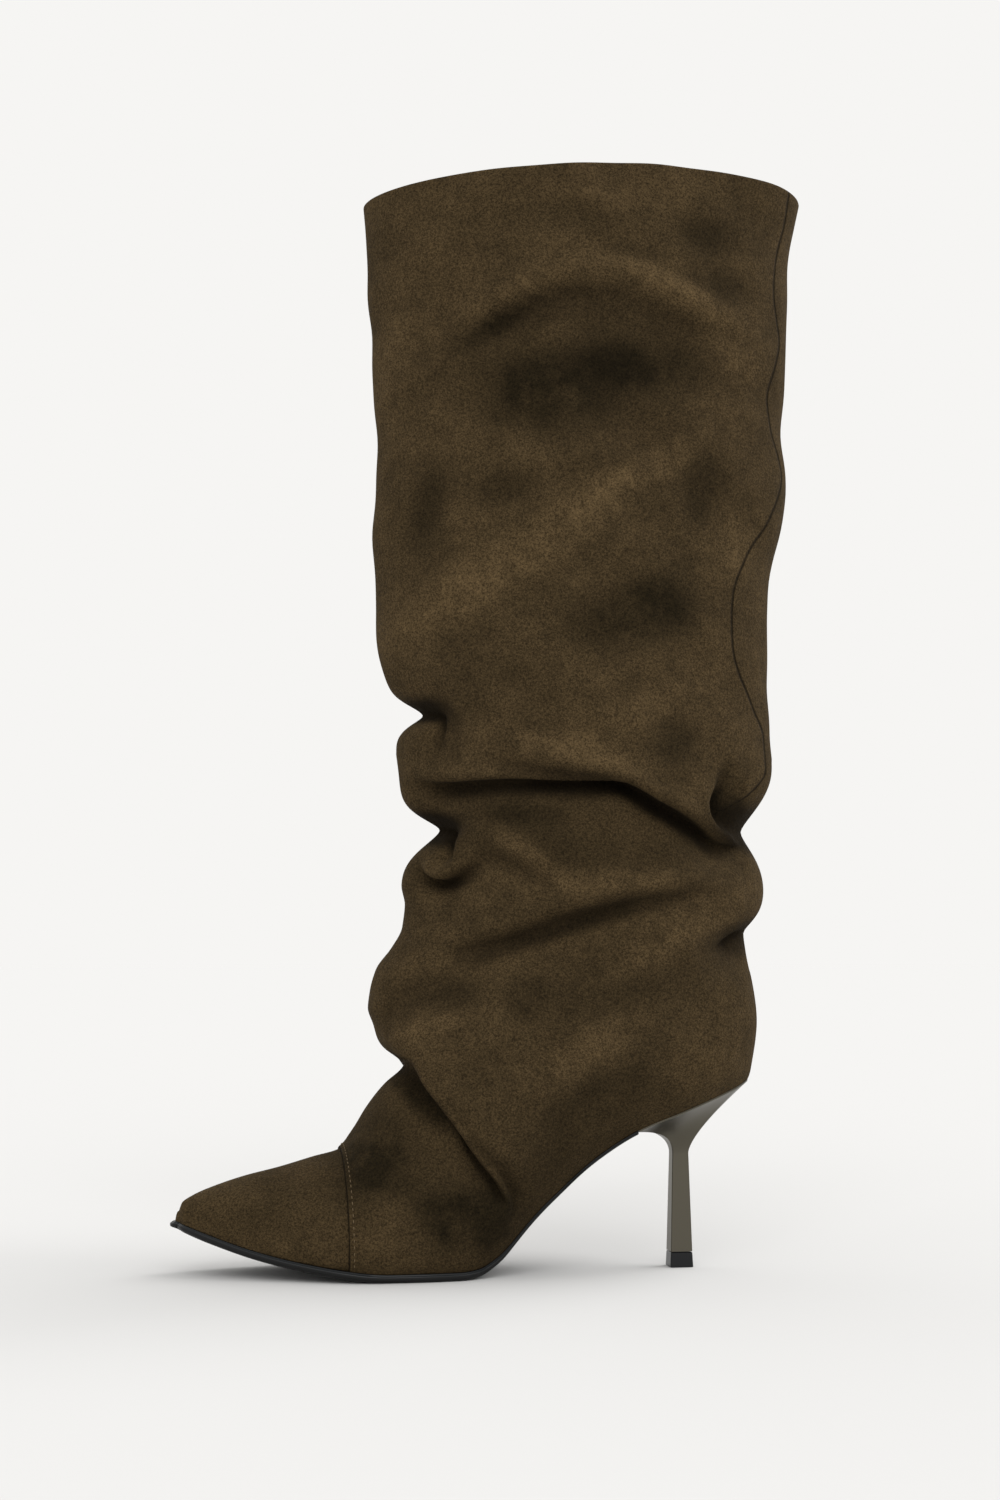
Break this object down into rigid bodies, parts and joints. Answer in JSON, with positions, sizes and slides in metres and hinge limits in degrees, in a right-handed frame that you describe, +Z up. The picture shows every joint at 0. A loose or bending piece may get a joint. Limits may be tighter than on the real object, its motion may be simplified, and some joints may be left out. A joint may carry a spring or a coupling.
{
  "type": "tall boot",
  "caption": "Knee-high slouched pull-on boot with a pointed toe, a slim square heel and a thin sole, open at the collar.",
  "frame": {"origin": "middle of the heel tip's ground face, on the floor", "axes": "+Z up along the leg, -X towards the toe, -Y towards the outer side of the left foot"},
  "size_m": [0.2715, 0.102, 0.4676],
  "materials": {
    "upper_suede": "dark olive-brown microsuede with a short brushed nap",
    "sole_rubber": "black, satin, moulded",
    "footbed": "smooth lining leather, matt",
    "plated_heel": "moulded ABS with gunmetal plating, smooth satin gloss",
    "lift_plastic": "black polyurethane, semi-gloss"
  },
  "bodies": {
    "root": {"upper": "upper_suede", "outsole": "sole_rubber", "insole": "footbed", "heel": "plated_heel", "top_lift": "lift_plastic"}
  },
  "joints": []
}
